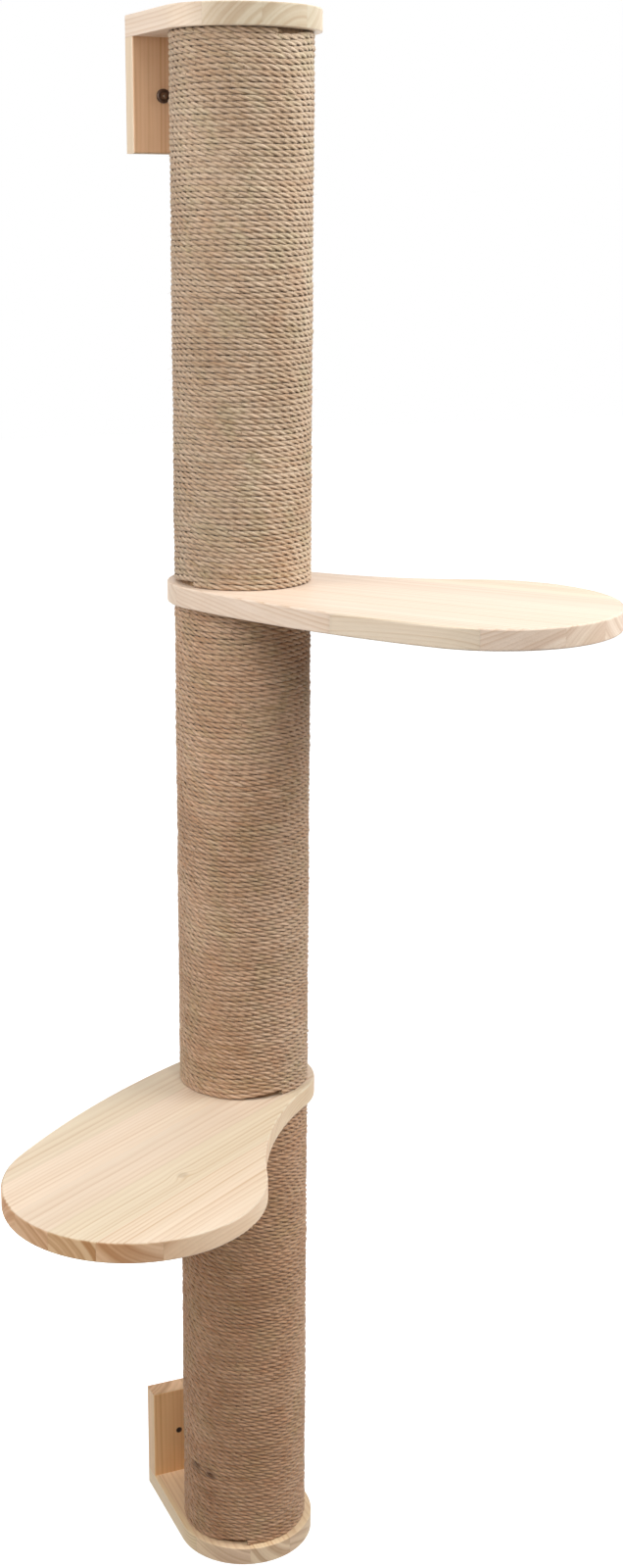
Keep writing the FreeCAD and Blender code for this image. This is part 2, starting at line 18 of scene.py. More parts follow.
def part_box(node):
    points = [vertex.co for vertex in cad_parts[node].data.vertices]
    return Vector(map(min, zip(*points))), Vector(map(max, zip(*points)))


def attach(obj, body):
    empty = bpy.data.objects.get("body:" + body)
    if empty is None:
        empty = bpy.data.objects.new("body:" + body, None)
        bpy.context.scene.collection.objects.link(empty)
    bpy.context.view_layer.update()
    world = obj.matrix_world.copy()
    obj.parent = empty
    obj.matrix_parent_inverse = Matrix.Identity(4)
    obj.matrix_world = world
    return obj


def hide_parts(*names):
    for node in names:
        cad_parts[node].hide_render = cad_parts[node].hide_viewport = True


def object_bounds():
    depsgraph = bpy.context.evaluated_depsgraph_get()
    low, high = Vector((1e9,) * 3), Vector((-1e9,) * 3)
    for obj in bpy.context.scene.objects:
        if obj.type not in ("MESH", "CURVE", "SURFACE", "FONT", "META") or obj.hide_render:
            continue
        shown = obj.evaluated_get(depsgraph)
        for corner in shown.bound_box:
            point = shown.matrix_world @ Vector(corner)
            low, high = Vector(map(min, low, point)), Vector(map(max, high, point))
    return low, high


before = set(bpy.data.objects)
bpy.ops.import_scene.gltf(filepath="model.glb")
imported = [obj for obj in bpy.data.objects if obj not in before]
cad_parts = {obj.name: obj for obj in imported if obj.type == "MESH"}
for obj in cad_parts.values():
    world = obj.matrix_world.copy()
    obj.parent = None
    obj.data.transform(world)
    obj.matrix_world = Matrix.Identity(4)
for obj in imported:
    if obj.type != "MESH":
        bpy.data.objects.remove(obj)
cad_box = [list(corner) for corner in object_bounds()]

# %% [markdown]
# ## The camera
#
# The photographer stood to the left of the tree, with the lens just below the upper bracket and
# tipped down. A camera is placed by a matrix whose columns are its right, its up and its back.
# We work those out from three angles, the way a tripod head is set: turn, dip and lean.

# %% Camera
PHOTO_HEIGHT = 1600
FOCAL_PIXELS = 2079.7
SENSOR = 36.0
CAMERA_PLACE = (-0.6417, -1.7445, -0.0921)
TURN, DIP, LEAN = (math.radians(angle) for angle in (23.333, 15.731, -0.421))

ahead = Vector((math.sin(TURN) * math.cos(DIP), math.cos(TURN) * math.cos(DIP), -math.sin(DIP)))
level = Vector((math.cos(TURN), -math.sin(TURN), 0))
down = ahead.cross(level)
right = level * math.cos(LEAN) + down * math.sin(LEAN)
lower = down * math.cos(LEAN) - level * math.sin(LEAN)
bpy.ops.object.camera_add()
camera = bpy.context.object
camera.name = "camera"
camera.data.sensor_width = SENSOR
camera.data.lens = FOCAL_PIXELS / PHOTO_HEIGHT * SENSOR
turning = Matrix((right, -lower, -ahead)).transposed()
camera.matrix_world = Matrix.Translation(CAMERA_PLACE) @ turning.to_4x4()
bpy.context.scene.camera = camera
print("camera: lens %.1f mm" % camera.data.lens)

# %% [markdown]
# ## Small tools for materials
#
# A procedural material is a tree of nodes. Written out in full, a sum of two numbers takes four
# lines, so these helpers make a node, fill its sockets and return what comes out of it.
# `paint` takes a colour as a picture editor shows it, from 0 to 255, and makes it linear.

# %% Helpers for nodes
def paint(red, green, blue):
    """The linear colour of an sRGB colour that is given from 0 to 255."""
    shares = [value / 255 for value in (red, green, blue)]
    linear = [s / 12.92 if s <= 0.04045 else ((s + 0.055) / 1.055) ** 2.4 for s in shares]
    return (*linear, 1.0)


def fill(tree, socket, value):
    """Links the socket to another one, or sets it."""
    if isinstance(value, bpy.types.NodeSocket):
        tree.links.new(value, socket)
    else:
        socket.default_value = value


def add_node(tree, kind, inputs=None, **settings):
    made = tree.nodes.new("ShaderNode" + kind)
    for name, value in settings.items():
        setattr(made, name, value)
    for name, value in (inputs or {}).items():
        fill(tree, made.inputs[name], value)
    return made


def sums(tree, operation, *values):
    """One step of arithmetic."""
    made = add_node(tree, "Math", operation=operation)
    for socket, value in zip(made.inputs, values):
        fill(tree, socket, value)
    return made.outputs[0]


def plus(tree, total, *values):
    for value in values:
        total = sums(tree, "ADD", total, value)
    return total


def times(tree, product, *values):
    for value in values:
        product = sums(tree, "MULTIPLY", product, value)
    return product


def stretch(tree, vector, factors):
    """A vector with each of its parts multiplied."""
    inputs = {0: vector, 1: factors}
    return add_node(tree, "VectorMath", inputs, operation="MULTIPLY").outputs[0]


def length_of(tree, vector):
    return add_node(tree, "VectorMath", {0: vector}, operation="LENGTH").outputs["Value"]


def noise(tree, vector, scale, detail):
    inputs = {"Vector": vector, "Scale": scale, "Detail": detail}
    return add_node(tree, "TexNoise", inputs).outputs[0]


def streaks_of(tree, vector, factors, detail):
    """Noise that is finer along the parts with the larger factors."""
    return noise(tree, stretch(tree, vector, factors), 1.0, detail)


def between(tree, value, low, high, bottom=0.0, top=1.0, how="LINEAR"):
    """Carries a value from the range low..high to the range bottom..top."""
    inputs = {"Value": value, "From Min": low, "From Max": high, "To Min": bottom, "To Max": top}
    return add_node(tree, "MapRange", inputs, interpolation_type=how).outputs["Result"]


def fade(tree, value, low, high, bottom=0, top=1):
    """The same, but eased in and out."""
    return between(tree, value, low, high, bottom, top, how="SMOOTHSTEP")


def mixed(tree, share, first, second, how="MIX"):
    """Two colours mixed, or one laid over the other."""
    made = add_node(tree, "Mix", data_type="RGBA", blend_type=how)
    for index, value in ((0, share), (6, first), (7, second)):
        fill(tree, made.inputs[index], value)
    return made.outputs[2]


def tinted(tree, mask, color, tint):
    """The colour, multiplied by a tint where the mask is white."""
    return mixed(tree, mask, color, mixed(tree, 1.0, color, tint, "MULTIPLY"))


def parts_of(tree, vector):
    return add_node(tree, "SeparateXYZ", {"Vector": vector}).outputs


def joined(tree, *parts):
    """A vector made of its parts."""
    return add_node(tree, "CombineXYZ", dict(enumerate(parts))).outputs[0]


def new_group(name, inputs, outputs):
    """An empty node group with these sockets, and its own input and output nodes' sockets."""
    group = bpy.data.node_groups.new(name, "ShaderNodeTree")
    for label, kind, value in inputs:
        socket = group.interface.new_socket(label, in_out="INPUT", socket_type="NodeSocket" + kind)
        if value is not None:
            socket.default_value = value
    for label, kind in outputs:
        group.interface.new_socket(label, in_out="OUTPUT", socket_type="NodeSocket" + kind)
    given = group.nodes.new("NodeGroupInput").outputs
    result = group.nodes.new("NodeGroupOutput").inputs
    return group, given, result


def use_group(tree, group, **inputs):
    """Places a group in a material. An input's spaces are written as underscores."""
    made = tree.nodes.new("ShaderNodeGroup")
    made.node_tree = group
    for name, value in inputs.items():
        fill(tree, made.inputs[name.replace("_", " ")], value)
    return made.outputs


def new_material(name, **constants):
    """A material with its Principled shader, whose constants are set on its own sockets."""
    material = bpy.data.materials.new(name)
    material.use_nodes = True
    shader = material.node_tree.nodes["Principled BSDF"]
    for label, value in constants.items():
        shader.inputs[label.replace("_", " ")].default_value = value
    return material, material.node_tree, shader


def bump(tree, shader, height, depth):
    """Feeds a height to the shader as relief. The depth is in metres."""
    inputs = {"Height": height, "Distance": depth, "Strength": 1.0}
    tree.links.new(add_node(tree, "Bump", inputs).outputs[0], shader.inputs["Normal"])


def dress(tree, shader, color, looks, relief):
    """Gives the shader a colour, and the roughness and height that a group has worked out."""
    tree.links.new(color, shader.inputs["Base Color"])
    tree.links.new(looks["Roughness"], shader.inputs["Roughness"])
    bump(tree, shader, looks["Height"], relief)


print("helpers ready")

# %% [markdown]
# ## Pine
#
# The boards are edge glued pine: staves about 40 mm wide, each sawn from another part of a trunk.
# A picture of grain would only fit one face. Real grain is a solid thing, a set of rings round a
# pith, and every face is a slice of it. So the group below works out the distance to a pith for
# any point in the wood. Faces then show long lines, and ends show arcs, with no seams between.
#
# The group is built in five steps. First it needs its sockets, and it has to say in which stave
# a point lies. White noise on the stave's number gives it three chance numbers of its own.

# %% The wood group: staves
group, given, result = new_group(
    "Solid Wood",
    (
        ("Grain Place", "Vector", None),
        ("Grain Normal", "Vector", None),
        ("Early Wood", "Color", None),
        ("Late Wood", "Color", None),
        ("End Light", "Color", paint(248, 243, 238)),
        ("End Dark", "Color", paint(232, 220, 212)),
        ("Front Tint", "Color", (1.0, 1.0, 1.0, 1.0)),
        ("Edge Tint", "Color", (1.0, 1.0, 1.0, 1.0)),
        ("Stave Width", "Float", 0.042),
        ("Ring Spacing", "Float", 0.0031),
        ("Figure", "Float", 0.6),
        ("Seed", "Float", None),
        ("Knot Place", "Vector", (9.0, 9.0, 9.0)),
        ("Knot Size", "Float", 0.004),
        ("Hole Place", "Vector", (9.0, 9.0, 0.0)),
        ("Hole Radius", "Float", 0.0025),
    ),
    (("Color", "Color"), ("Roughness", "Float"), ("Height", "Float")),
)
place = given["Grain Place"]
along, across, through = parts_of(group, place)

column = plus(group, sums(group, "DIVIDE", across, given["Stave Width"]), given["Seed"])
stave = sums(group, "FLOOR", column)
from_middle = sums(group, "SUBTRACT", sums(group, "FRACT", column), 0.5)
inside = times(group, from_middle, given["Stave Width"])
key = sums(group, "MULTIPLY_ADD", stave, 1.37, given["Seed"])
chance = add_node(group, "TexWhiteNoise", {"W": key}, noise_dimensions="1D").outputs["Color"]
first, second, third = parts_of(group, chance)
print("staves:", len(group.nodes), "nodes")

# %% [markdown]
# The pith runs along the stave, above or below it, so a ring is a cylinder round a line. No trunk
# is quite straight: slow noise is added to the distance, so that the lines on a face bend and
# close into flames. Round a knot the rings bulge.

# %% The wood group: distance to the pith
TRUNK_WANDER = 0.006
RING_WANDER = 0.0006
KNOT_BULGE = 0.004

side = sums(group, "SIGN", sums(group, "SUBTRACT", third, 0.5))
pith_through = times(group, between(group, second, 0, 1, 0.025, 0.07), side)
pith_across = between(group, first, 0, 1, -0.055, 0.055)
waviness = streaks_of(group, place, (1.7, 9, 9), 1.0)
wobble = streaks_of(group, place, (14, 70, 70), 1.0)
from_knot = add_node(
    group, "VectorMath", {0: place, 1: given["Knot Place"]}, operation="SUBTRACT"
)
flat = stretch(group, from_knot.outputs[0], (0.7, 1, 0.25))
nearness = sums(group, "DIVIDE", length_of(group, flat), given["Knot Size"])
knot = sums(group, "EXPONENT", times(group, sums(group, "POWER", nearness, 2), -0.35))
radius = sums(group, "SQRT", plus(
    group,
    sums(group, "POWER", sums(group, "SUBTRACT", inside, pith_across), 2),
    sums(group, "POWER", sums(group, "SUBTRACT", through, pith_through), 2),
))
radius = plus(
    group, radius,
    between(group, waviness, 0, 1, -TRUNK_WANDER, TRUNK_WANDER),
    between(group, wobble, 0, 1, -RING_WANDER, RING_WANDER),
)
radius = sums(group, "MULTIPLY_ADD", knot, KNOT_BULGE, radius)
print("with the pith:", len(group.nodes), "nodes")

# %% [markdown]
# Each ring darkens slowly towards the late wood and then stops short. Every year has a strength
# of its own, and now and then several lean years follow each other and make a darker band.

# %% The wood group: rings
ring = sums(group, "DIVIDE", radius, given["Ring Spacing"])
year = sums(group, "FRACT", ring)
key = sums(group, "MULTIPLY_ADD", stave, 7.7, sums(group, "FLOOR", ring))
vigour = add_node(group, "TexWhiteNoise", {"W": key}, noise_dimensions="1D").outputs["Value"]
late = times(
    group,
    fade(group, year, 0.35, 0.9),
    fade(group, year, 0.9, 1.0, 1, 0),
    between(group, vigour, 0, 1, 0.3, 1.0),
)
years = sums(group, "MULTIPLY_ADD", radius, 150.0, times(group, stave, 5.3))
years = joined(group, years, times(group, along, 1.5))
lean_years = fade(group, noise(group, years, 1.0, 1.0), 0.35, 0.65)
print("with the rings:", len(group.nodes), "nodes")

# %% [markdown]
# Early and late wood are mixed by the rings, and noise that is stretched along the grain adds
# fibres, streaks and blotches. A thin darker line is the glue between two staves.

# %% The wood group: grain
GLUE_LINE = (0.490, 0.497)

fibres = streaks_of(group, place, (30, 900, 900), 2.0)
streaks = streaks_of(group, place, (5, 150, 150), 3.0)
blotches = streaks_of(group, place, (5, 16, 16), 1.0)
facing = sums(group, "ABSOLUTE", parts_of(group, given["Grain Normal"])[0])
end_grain = fade(group, facing, 0.25, 0.95)

share = times(group, late, given["Figure"], between(group, lean_years, 0, 1, 0.45, 1.25))
streak = between(group, streaks, 0.35, 0.75, -0.03, 0.14)
share = plus(group, share, times(group, lean_years, 0.12), streak)
share = times(group, share, between(group, end_grain, 0, 1, 1.0, 0.55))
color = mixed(group, share, given["Early Wood"], given["Late Wood"])
seam = sums(group, "ABSOLUTE", from_middle)
tone = times(
    group,
    between(group, first, 0, 1, 0.95, 1.03),
    between(group, fibres, 0.2, 0.8, 0.965, 1.025),
    between(group, blotches, 0.2, 0.8, 0.975, 1.02),
    between(group, seam, *GLUE_LINE, 1.0, 0.95),
)
grey = add_node(group, "CombineColor", {0: tone, 1: tone, 2: tone}).outputs[0]
color = mixed(group, 1.0, color, grey, "MULTIPLY")
print("with the grain:", len(group.nodes), "nodes")

# %% [markdown]
# Some staves and patches are pinker, some yellower. Cut ends drink light and look browner. A
# board's front and its edges can take a tint of their own: painted shade with warm bounce light
# on the wall plates' fronts, and painted light or shade on edges. The knot gets its brown heart,
# and a pair of drilled holes gets painted shade inside and just past the rim.

# %% The wood group: tints
HEART = paint(150, 122, 96)
# Painted shade for the inside of the drilled holes.
HOLE_PAINTED_SHADE = paint(58, 38, 24)
HOLE_SHADE_REACH = (0.0001, 0.0011)

pink = fade(group, plus(group, second, blotches), 0.7, 1.4)
tint = mixed(group, pink, paint(254, 252, 244), paint(255, 249, 246))
color = mixed(group, 1.0, color, tint, "MULTIPLY")
ends = mixed(group, lean_years, given["End Light"], given["End Dark"])
color = tinted(group, end_grain, color, ends)
outward = parts_of(group, given["Grain Normal"])[2]
# Painted shade with warm bounce light, on faces turned to the front.
front = fade(group, outward, -0.5, -0.9)
color = tinted(group, front, color, given["Front Tint"])
# Painted light or shade on the edges: lighter on the lower shelf, darker on the wall plates.
edge = fade(group, sums(group, "ABSOLUTE", outward), 0.5, 0.2)
color = tinted(group, edge, color, given["Edge Tint"])
heart = fade(group, knot, 0.55, 0.95, 0, 0.3)
color = mixed(group, heart, color, HEART)
# Painted shade inside the drilled holes, fading out just past their rim.
either_side = joined(group, along, sums(group, "ABSOLUTE", across))
inputs = {0: either_side, 1: given["Hole Place"]}
to_hole = add_node(group, "VectorMath", inputs, operation="DISTANCE")
past_rim = sums(group, "SUBTRACT", to_hole.outputs["Value"], given["Hole Radius"])
hole_shade = fade(group, past_rim, *HOLE_SHADE_REACH, 0.92, 0)
color = mixed(group, hole_shade, color, HOLE_PAINTED_SHADE)
group.links.new(color, result["Color"])
rough = plus(
    group, between(group, fibres, 0.2, 0.8, 0.42, 0.54), between(group, end_grain, 0, 1, 0, 0.16),
)
group.links.new(rough, result["Roughness"])
height = sums(group, "MULTIPLY_ADD", fibres, 0.6, times(group, late, 0.5))
group.links.new(height, result["Height"])
wood_group = group
print("wood group:", len(wood_group.nodes), "nodes")

# %% [markdown]
# Each board is a cut of its own. A Mapping node turns the object's coordinates into grain
# coordinates: first along the grain, then across the staves, then through the board.
# The normal is turned the same way, so that the wood knows where a face cuts its fibres.
# Each bracket was cut from a board of its own. The lower shelf and the lower bracket get warmer
# pine, and the lower shelf darker, warmer ends: painted light, which is warmer and dimmer lower
# down. The upper bracket's end grain, which faces front, is darker and greyer: end grain with
# painted shade.

# %% A pine finish for one board
PINE_RELIEF = 0.00012
PALE_PINE = {
    "Early_Wood": paint(226, 210, 193), "Late_Wood": paint(199, 170, 141),
    "End_Light": paint(255, 255, 254), "End_Dark": paint(236, 228, 222),
}
# Painted light: warmer pine for the lower shelf, with darker and warmer ends.
WARM_PINE = {
    "Early_Wood": paint(224, 208, 187), "Late_Wood": paint(196, 164, 130),
    "End_Light": paint(255, 242, 226), "End_Dark": paint(216, 182, 148),
}
# Painted shade: the upper bracket's end grain, which faces front, is darker and greyer.
TOP_PINE = dict(PALE_PINE, End_Light=paint(215, 215, 208), End_Dark=paint(198, 190, 177))
# Painted light: warmer pine for the lower bracket, lower down.
FOOT_PINE = {
    "Early_Wood": paint(244, 220, 185), "Late_Wood": paint(209, 171, 129),
    "End_Light": paint(246, 244, 250), "End_Dark": paint(216, 204, 202),
}


def make_board_wood(name, grain, across, centre, seed, colours, **more):
    """Wood whose grain runs along one unit vector and whose staves lie side by side along another."""
    material, tree, shader = new_material(name, Specular_IOR_Level=0.35)
    rows = Matrix((grain, across, grain.cross(across)))
    turn = rows.to_euler()
    shift = -(rows @ Vector(centre))
    source = add_node(tree, "TexCoord").outputs
    settings = {"Vector": source["Object"], "Rotation": turn, "Location": shift}
    place = add_node(tree, "Mapping", settings, vector_type="POINT").outputs[0]
    settings = {"Vector": source["Normal"], "Rotation": turn}
    normal = add_node(tree, "Mapping", settings, vector_type="VECTOR").outputs[0]
    wood = use_group(
        tree, wood_group, Grain_Place=place, Grain_Normal=normal,
        Seed=seed, **colours, **more,
    )
    dress(tree, shader, wood["Color"], wood, PINE_RELIEF)
    return material


def finish_node(name, material):
    """Gives a CAD node this material in every slot that it has."""
    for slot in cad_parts[name].material_slots:
        slot.material = material


print("pine colours ready")

# %% [markdown]
# Both shelves were cut from glued up boards, whose staves run roughly along the pear. The
# grain's direction is given as an angle round the post, and so is the place of the one knot.

# %% Finish the shelves
POST_LOW, POST_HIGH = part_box("upper_post_rope")
POST_AXIS = Vector((0, (POST_LOW.y + POST_HIGH.y) / 2, 0))
UP = Vector((0, 0, 1))


def flat_direction(degrees):
    """A level unit vector, at so many degrees from +X."""
    return Vector((math.cos(math.radians(degrees)), math.sin(math.radians(degrees)), 0))


SHELF_GRAIN = {"upper_shelf": -51.0, "lower_shelf": -148.5}
SHELF_SEED = {"upper_shelf": 6.35, "lower_shelf": 15.6}
KNOT_ANGLE, KNOT_REACH, KNOT_DEPTH = -125.4, 0.2127, 0.009
# Painted light: the lower shelf's edges are made lighter and warmer.
LOWER_SHELF_EDGE_LIGHT = (1.12, 1.01, 0.91, 1.0)
for name, angle in SHELF_GRAIN.items():
    low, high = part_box(name)
    grain = flat_direction(angle)
    across = UP.cross(grain)
    middle = Vector((POST_AXIS.x, POST_AXIS.y, (low.z + high.z) / 2))
    colours, more = PALE_PINE, {}
    if name == "lower_shelf":
        spot = flat_direction(KNOT_ANGLE) * KNOT_REACH
        colours = WARM_PINE
        more["Knot_Place"] = (spot.dot(grain), spot.dot(across), KNOT_DEPTH)
        more["Edge_Tint"] = LOWER_SHELF_EDGE_LIGHT
    seed = SHELF_SEED[name]
    material = make_board_wood("pine_" + name, grain, across, middle, seed, colours, **more)
    finish_node(name, material)
print("shelves finished:", ", ".join(SHELF_GRAIN))

# %% [markdown]
# In a bracket the flat plate's grain runs into the wall and the wall plate's runs up and down.
# The wall plates' fronts and edges get painted shade and warm bounce light. The lower one's screw
# holes are empty, with painted shade inside.

# %% Finish the brackets
into_wall, along_wall = Vector((0, 1, 0)), Vector((1, 0, 0))
# Painted shade with warm bounce light, on the wall plates' fronts and edges.
WALL_PLATE_PAINTED_SHADE = {
    "upper": {"Front_Tint": paint(253, 224, 200), "Edge_Tint": (1.0, 0.96, 0.9, 1.0)},
    "lower": {"Front_Tint": (1.08, 0.87, 0.69, 1.0), "Edge_Tint": (1.0, 0.86, 0.76, 1.0)},
}
SCREW_ASIDE = 0.039
SCREW_DROP = 0.047
NEXT_BOARD = 2.3
BRACKETS = (("upper", 5.2, TOP_PINE), ("lower", 9.45, FOOT_PINE))
for end, seed, colours in BRACKETS:
    for board, grain in (("bracket_plate", into_wall), ("wall_plate", UP)):
        name = "%s_%s" % (end, board)
        low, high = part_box(name)
        more = dict(WALL_PLATE_PAINTED_SHADE[end]) if board == "wall_plate" else {}
        middle = (low + high) / 2
        # Painted shade inside the lower wall plate's screw holes.
        if name == "lower_wall_plate":
            more["Hole_Place"] = (low.z + SCREW_DROP - middle.z, SCREW_ASIDE, 0.0)
        material = make_board_wood("pine_" + name, grain, along_wall, middle, seed, colours, **more)
        finish_node(name, material)
        seed += NEXT_BOARD
print("brackets finished:", len(BRACKETS))

# %% [markdown]
# ## Metal
#
# The fasteners are plated steel. Plating is never one flat tone, it clouds. One group gives the
# clouds, an uneven gloss and a fine relief, and each metal mixes two colours by the clouds.

# %% The plating group
PLATING_SCALE = 400.0

group, given, result = new_group(
    "Plating",
    (("Place", "Vector", None),),
    (("Clouds", "Float"), ("Roughness", "Float"), ("Height", "Float")),
)
clouds = noise(group, given["Place"], PLATING_SCALE, 3.0)
grit = noise(group, given["Place"], PLATING_SCALE * 9, 1.0)
group.links.new(between(group, clouds, 0.3, 0.7), result["Clouds"])
cloudy = between(group, clouds, 0.3, 0.7, 0.28, 0.42)
gritty = between(group, grit, 0.3, 0.7, -0.04, 0.06)
group.links.new(plus(group, cloudy, gritty), result["Roughness"])
group.links.new(grit, result["Height"])
plating_group = group
print("plating group:", len(plating_group.nodes), "nodes")

# %% [markdown]
# Bolts, nuts, studs and staples are zinc plated, and the bracket's wood screws yellow. The wall
# screws are bronzed, with a painted glint in their recess: brown round the middle and near white
# at the centre. That painted highlight is placed by the distance from a screw's own axis, since
# both heads face away from the wall.

# %% Metals
PLATING_RELIEF = 0.00002


def paint_recess_glint(tree, place, color):
    """Paints a glint, a painted highlight, into the recess over a colour."""
    side, _, height = parts_of(tree, place)
    aside = sums(tree, "SUBTRACT", sums(tree, "ABSOLUTE", side), SCREW_ASIDE)
    away = length_of(tree, joined(tree, aside, 0, height))
    # Painted highlight: brown round the middle of the recess, then near white at its centre.
    brown = fade(tree, away, 0.0022, 0.0034, 0.8, 0.0)
    color = mixed(tree, brown, color, paint(132, 100, 74))
    glint = fade(tree, away, 0.0006, 0.0014, 1.0, 0.0)
    return mixed(tree, glint, color, paint(224, 212, 196))


def make_metal(name, dull, bright, metallic=1.0, recess_glint=None):
    material, tree, shader = new_material(name, Metallic=metallic)
    place = add_node(tree, "TexCoord").outputs["Object"]
    plating = use_group(tree, plating_group, Place=place)
    color = mixed(tree, plating["Clouds"], dull, bright)
    if recess_glint:
        color = recess_glint(tree, place, color)
    dress(tree, shader, color, plating, PLATING_RELIEF)
    return material


zinc = make_metal("zinc_steel", paint(176, 179, 182), paint(206, 208, 209))
yellow_zinc = make_metal("yellow_zinc", paint(190, 164, 104), paint(214, 192, 134))
# The bronzed wall screws get the painted glint in their recess.
bronzed = make_metal("bronzed_steel", paint(58, 40, 29), paint(84, 60, 44), 0.4, paint_recess_glint)
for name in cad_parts:
    if name.endswith(("_bolt", "_washer", "_nut", "_stud", "_staples")):
        finish_node(name, zinc)
    elif name.endswith("_bracket_screws"):
        finish_node(name, yellow_zinc)
    elif name == "upper_wall_screws":
        finish_node(name, bronzed)
print("metals: zinc, yellow zinc, bronzed")

# %% [markdown]
# ## Cardboard and plugs
#
# Inside each post is a tube of brown cardboard, closed at both ends by a plug that is turned from
# one piece of softwood. Fine noise is enough for paper pulp. The plugs take the boards' wood
# group, with a stave wider than the plug, so that no glue line shows.

# %% Cardboard tubes and plugs
ONE_STAVE = 0.3
PULP_RELIEF = 0.0001


def make_clouded(name, size, spread, dark, light, relief=None, **constants):
    """A material that drifts from one colour to another by plain noise."""
    material, tree, shader = new_material(name, **constants)
    clouds = noise(tree, add_node(tree, "TexCoord").outputs["Object"], *size)
    color = mixed(tree, between(tree, clouds, *spread), dark, light)
    tree.links.new(color, shader.inputs["Base Color"])
    if relief:
        bump(tree, shader, clouds, relief)
    return material


cardboard = make_clouded(
    "cardboard", (260.0, 4.0), (0.3, 0.7), paint(104, 78, 54), paint(136, 106, 76),
    PULP_RELIEF, Roughness=0.85,
)
PLUG_PINE = {"Early_Wood": paint(214, 184, 142), "Late_Wood": paint(178, 136, 92)}
PLUG_SEEDS = {"upper_post": 21.3, "middle_post": 24.8, "lower_post": 27.1}
for post, seed in PLUG_SEEDS.items():
    finish_node(post + "_tube", cardboard)
    plug_wood = make_board_wood(
        "plug_wood_" + post, along_wall, into_wall, POST_AXIS, seed, PLUG_PINE, Stave_Width=ONE_STAVE,
    )
    for end in ("bottom", "top"):
        finish_node("%s_%s_plug" % (post, end), plug_wood)
print("tubes and plugs finished:", ", ".join(PLUG_SEEDS))

# %% [markdown]
# ## Jute
#
# The twine is three strands twisted to the right. Its fibres run along the strands, so the
# pattern has to follow the twine and not the room. The twine's map gives that: its first number
# is metres along the twine, its second goes once round it. Noise that is stretched along the
# first makes fibres. Slow noise along it makes the lighter, greener and browner lengths that
# natural jute has, and an attribute darkens the grooves between the strands.

# %% The jute group: fibres
STRANDS = 3
TWINE_GIRTH = 0.0148

group, given, result = new_group(
    "Jute",
    (
        ("Twine Place", "Vector", None),
        ("Post Place", "Vector", None),
        ("Crest", "Float", None),
        ("Stain", "Float", None),
        ("Light Fibre", "Color", None),
        ("Dark Fibre", "Color", None),
    ),
    (("Color", "Color"), ("Roughness", "Float"), ("Height", "Float")),
)
along, around, _ = parts_of(group, given["Twine Place"])
strand = sums(group, "FLOOR", times(group, around, float(STRANDS)))
girth = times(group, around, TWINE_GIRTH)
leaning = sums(group, "MULTIPLY_ADD", along, -0.25, girth)
in_strand = joined(group, along, leaning, strand)
on_twine = joined(group, along, 0, strand)

fine = streaks_of(group, in_strand, (170, 5200, 7), 2.0)
coarse = streaks_of(group, in_strand, (55, 1500, 3), 2.0)
yarn = streaks_of(group, on_twine, (26, 0, 5.3), 2.0)
stretches = streaks_of(group, on_twine, (3.1, 0, 0), 3.0)
greenish = streaks_of(group, on_twine, (2.2, 0, 0.4), 2.0)
flecks = streaks_of(group, in_strand, (260, 1900, 11), 1.0)
patches = streaks_of(group, given["Post Place"], (38, 38, 30), 2.0)
fading = streaks_of(group, given["Post Place"], (17, 17, 12), 1.0)
shadows = streaks_of(group, on_twine, (140, 0, 3.7), 1.0)
specks = noise(group, given["Post Place"], 330.0, 1.0)
print("fibres:", len(group.nodes), "nodes")

# %% [markdown]
# The noises are now turned into colour. Fibres, yarns and faded patches choose between the light
# and the dark fibre, and lengths and patches are tinted green, brown, grey or rose. Bits of bark
# and dark specks lie on top, then the shade in the grooves, and the stains near the foot.

# %% The jute group: colours
BARK = paint(96, 68, 44)
SPECK = paint(98, 72, 50)
GROOVE = paint(104, 76, 50)
SMUDGE = paint(78, 48, 26)

share = plus(
    group,
    between(group, fine, 0.3, 0.7, -0.28, 0.28),
    between(group, coarse, 0.3, 0.7, 0.28, 0.72),
    between(group, yarn, 0.3, 0.7, -0.2, 0.2),
    between(group, stretches, 0.35, 0.65, -0.09, 0.09),
    between(group, fading, 0.3, 0.7, -0.16, 0.16),
)
share = add_node(group, "Clamp", {0: share}).outputs[0]
color = mixed(group, share, given["Dark Fibre"], given["Light Fibre"])
green = fade(group, greenish, 0.5, 0.75, 0, 0.7)
color = tinted(group, green, color, paint(248, 252, 240))
brown = fade(group, greenish, 0.5, 0.25, 0, 0.6)
color = tinted(group, brown, color, paint(253, 240, 226))
grey = fade(group, patches, 0.52, 0.68, 0, 0.75)
color = tinted(group, grey, color, paint(246, 252, 245))
rosy = fade(group, patches, 0.48, 0.32, 0, 0.45)
color = tinted(group, rosy, color, paint(254, 243, 236))
bark = fade(group, flecks, 0.70, 0.76, 0, 0.8)
color = mixed(group, bark, color, BARK)
speck = fade(group, specks, 0.70, 0.76, 0, 0.75)
color = mixed(group, speck, color, SPECK)
groove = fade(group, given["Crest"], 0, 0.75, 1, 0)
groove = times(group, groove, between(group, shadows, 0.35, 0.65, 0.1, 0.7))
color = mixed(group, groove, color, GROOVE)
smudge = times(group, given["Stain"], between(group, coarse, 0.35, 0.6, 0.35, 1.0))
color = mixed(group, smudge, color, SMUDGE)
group.links.new(color, result["Color"])
group.links.new(between(group, fine, 0.3, 0.7, 0.72, 0.9), result["Roughness"])
group.links.new(sums(group, "MULTIPLY_ADD", coarse, 0.6, fine), result["Height"])
jute_group = group
print("jute group:", len(jute_group.nodes), "nodes")

# %% [markdown]
# Each post gets a jute of its own: the top one palest, the bottom one brownest. That is painted
# light, since the light grows warmer lower down. A little sheen stands for the down of the yarn.
# It is a plain number, so it is set on the shader.

